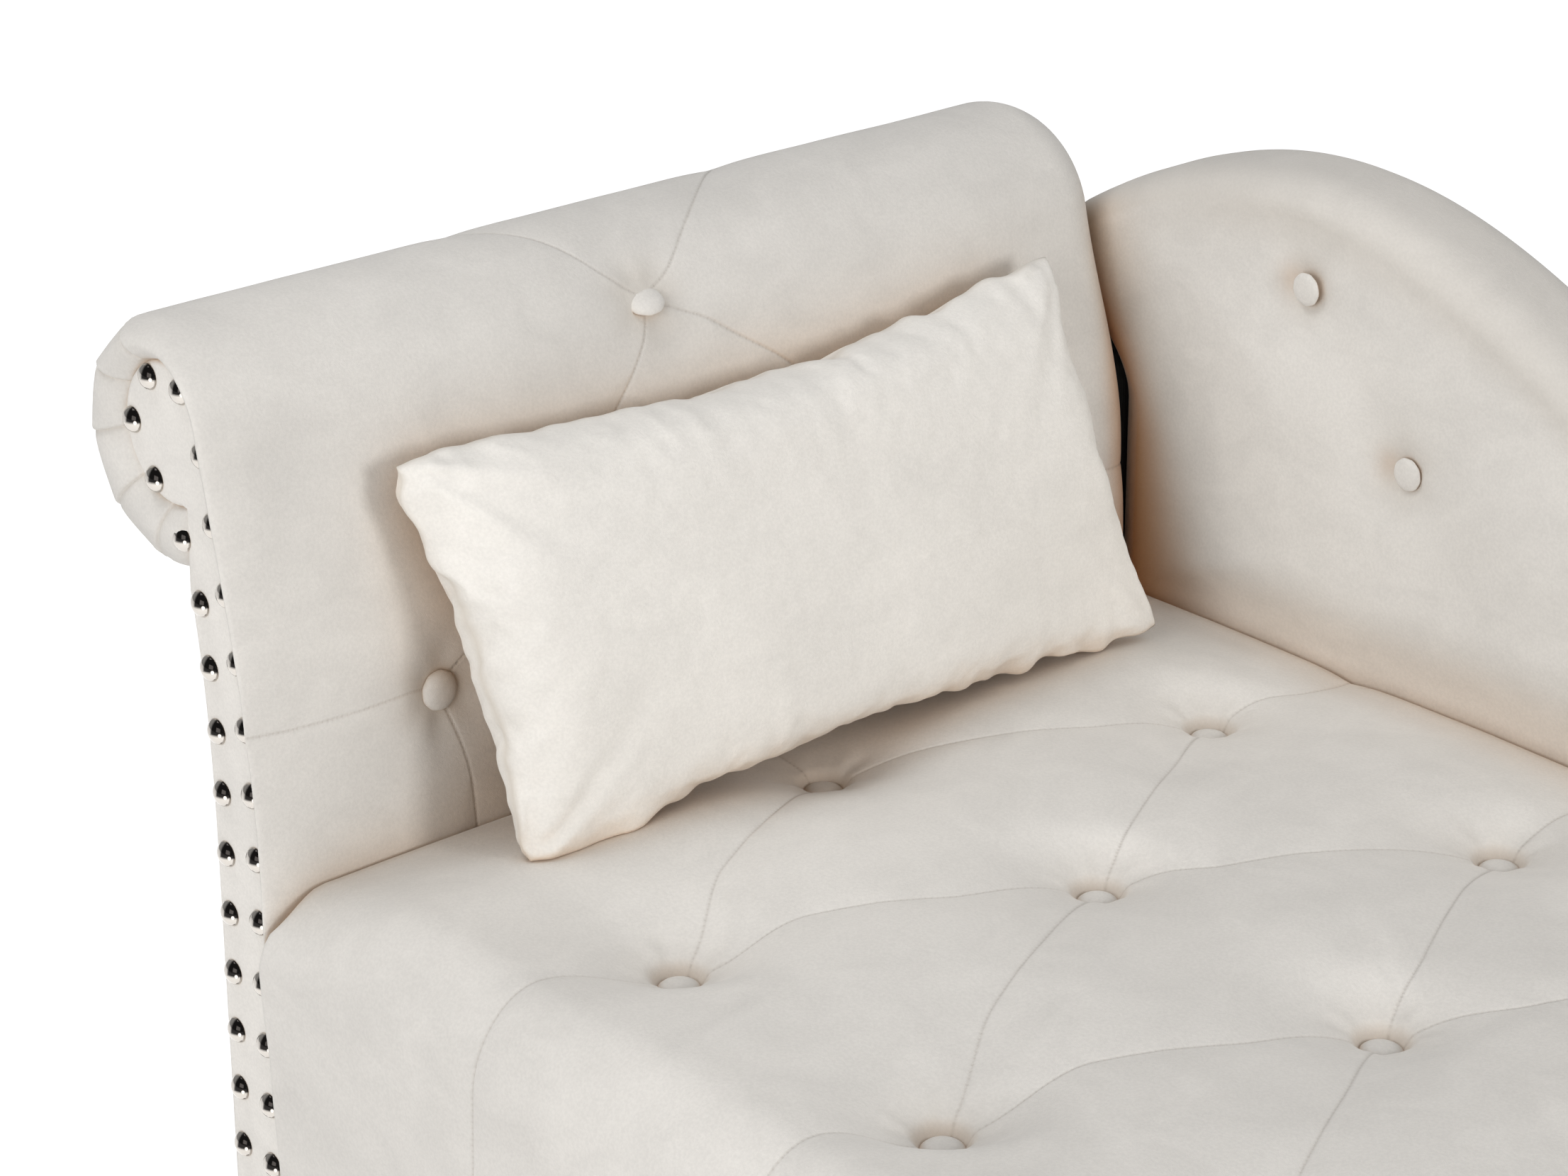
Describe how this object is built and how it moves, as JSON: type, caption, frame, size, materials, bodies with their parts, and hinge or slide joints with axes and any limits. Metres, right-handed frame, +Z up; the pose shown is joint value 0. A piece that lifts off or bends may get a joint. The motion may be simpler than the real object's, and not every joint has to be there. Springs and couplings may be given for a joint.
{
  "type": "chaise longue",
  "caption": "Chaise longue with one rolled arm, a swooping part back, a button-tufted seat, nail-head trim and a loose lumbar pillow.",
  "frame": {"origin": "middle of the bounding box, on the floor", "axes": "+X towards the foot end, +Y from the open front to the back, +Z up"},
  "size_m": [1.5108, 0.7973, 0.7608],
  "materials": {
    "ivory_velvet": "short-pile velvet",
    "pillow_velvet": "short-pile velvet, a little lighter",
    "frame_timber": "planed softwood",
    "plywood": "sawn plywood",
    "covered_board": "board with its cloth cover",
    "foam": "open-cell foam",
    "steel": "bright zinc",
    "polished_nickel": "polished nickel",
    "black_cloth": "non-woven cloth",
    "leg_wood": "dark satin lacquer"
  },
  "bodies": {
    "chaise": {"arm_bolt_1": "steel", "arm_bolt_2": "steel", "arm_button_1": "ivory_velvet", "arm_button_2": "ivory_velvet", "arm_button_3": "ivory_velvet", "arm_front_facing": "ivory_velvet", "arm_front_rib": "plywood", "arm_lower_rail": "frame_timber", "arm_outer_panel": "covered_board", "arm_pad": "ivory_velvet", "arm_rear_rib": "plywood", "arm_roll_rail": "frame_timber", "back_bolt_1": "steel", "back_bolt_2": "steel", "back_button_1": "ivory_velvet", "back_button_2": "ivory_velvet", "back_button_3": "ivory_velvet", "back_frame": "frame_timber", "back_pad": "ivory_velvet", "back_rear_panel": "ivory_velvet", "centre_rail": "frame_timber", "corner_block_foot_back": "frame_timber", "corner_block_foot_front": "frame_timber", "corner_block_head_back": "frame_timber", "corner_block_head_front": "frame_timber", "corner_post": "ivory_velvet", "dust_cover": "black_cloth", "foot_rail": "frame_timber", "front_rail": "frame_timber", "head_rail": "frame_timber", "inner_nail_row": "polished_nickel", "leg_foot_back": "leg_wood", "leg_foot_front": "leg_wood", "leg_head_back": "leg_wood", "leg_head_front": "leg_wood", "outer_nail_row": "polished_nickel", "rear_rail": "frame_timber", "seat_button_01": "ivory_velvet", "seat_button_02": "ivory_velvet", "seat_button_03": "ivory_velvet", "seat_button_04": "ivory_velvet", "seat_button_05": "ivory_velvet", "seat_button_06": "ivory_velvet", "seat_button_07": "ivory_velvet", "seat_button_08": "ivory_velvet", "seat_button_09": "ivory_velvet", "seat_button_10": "ivory_velvet", "seat_button_11": "ivory_velvet", "seat_button_12": "ivory_velvet", "seat_button_13": "ivory_velvet", "seat_button_14": "ivory_velvet", "seat_button_15": "ivory_velvet", "seat_button_16": "ivory_velvet", "seat_cover": "ivory_velvet", "seat_foam": "foam", "sinuous_spring_1": "steel", "sinuous_spring_2": "steel", "sinuous_spring_3": "steel", "spring_deck": "black_cloth"},
    "pillow": {"lumbar_pillow": "pillow_velvet"}
  },
  "joints": [
    {"name": "pillow_lift", "type": "slide", "parent": "chaise", "child": "pillow", "axis": [0, 0, 1], "range_m": [0, 0.45]}
  ]
}
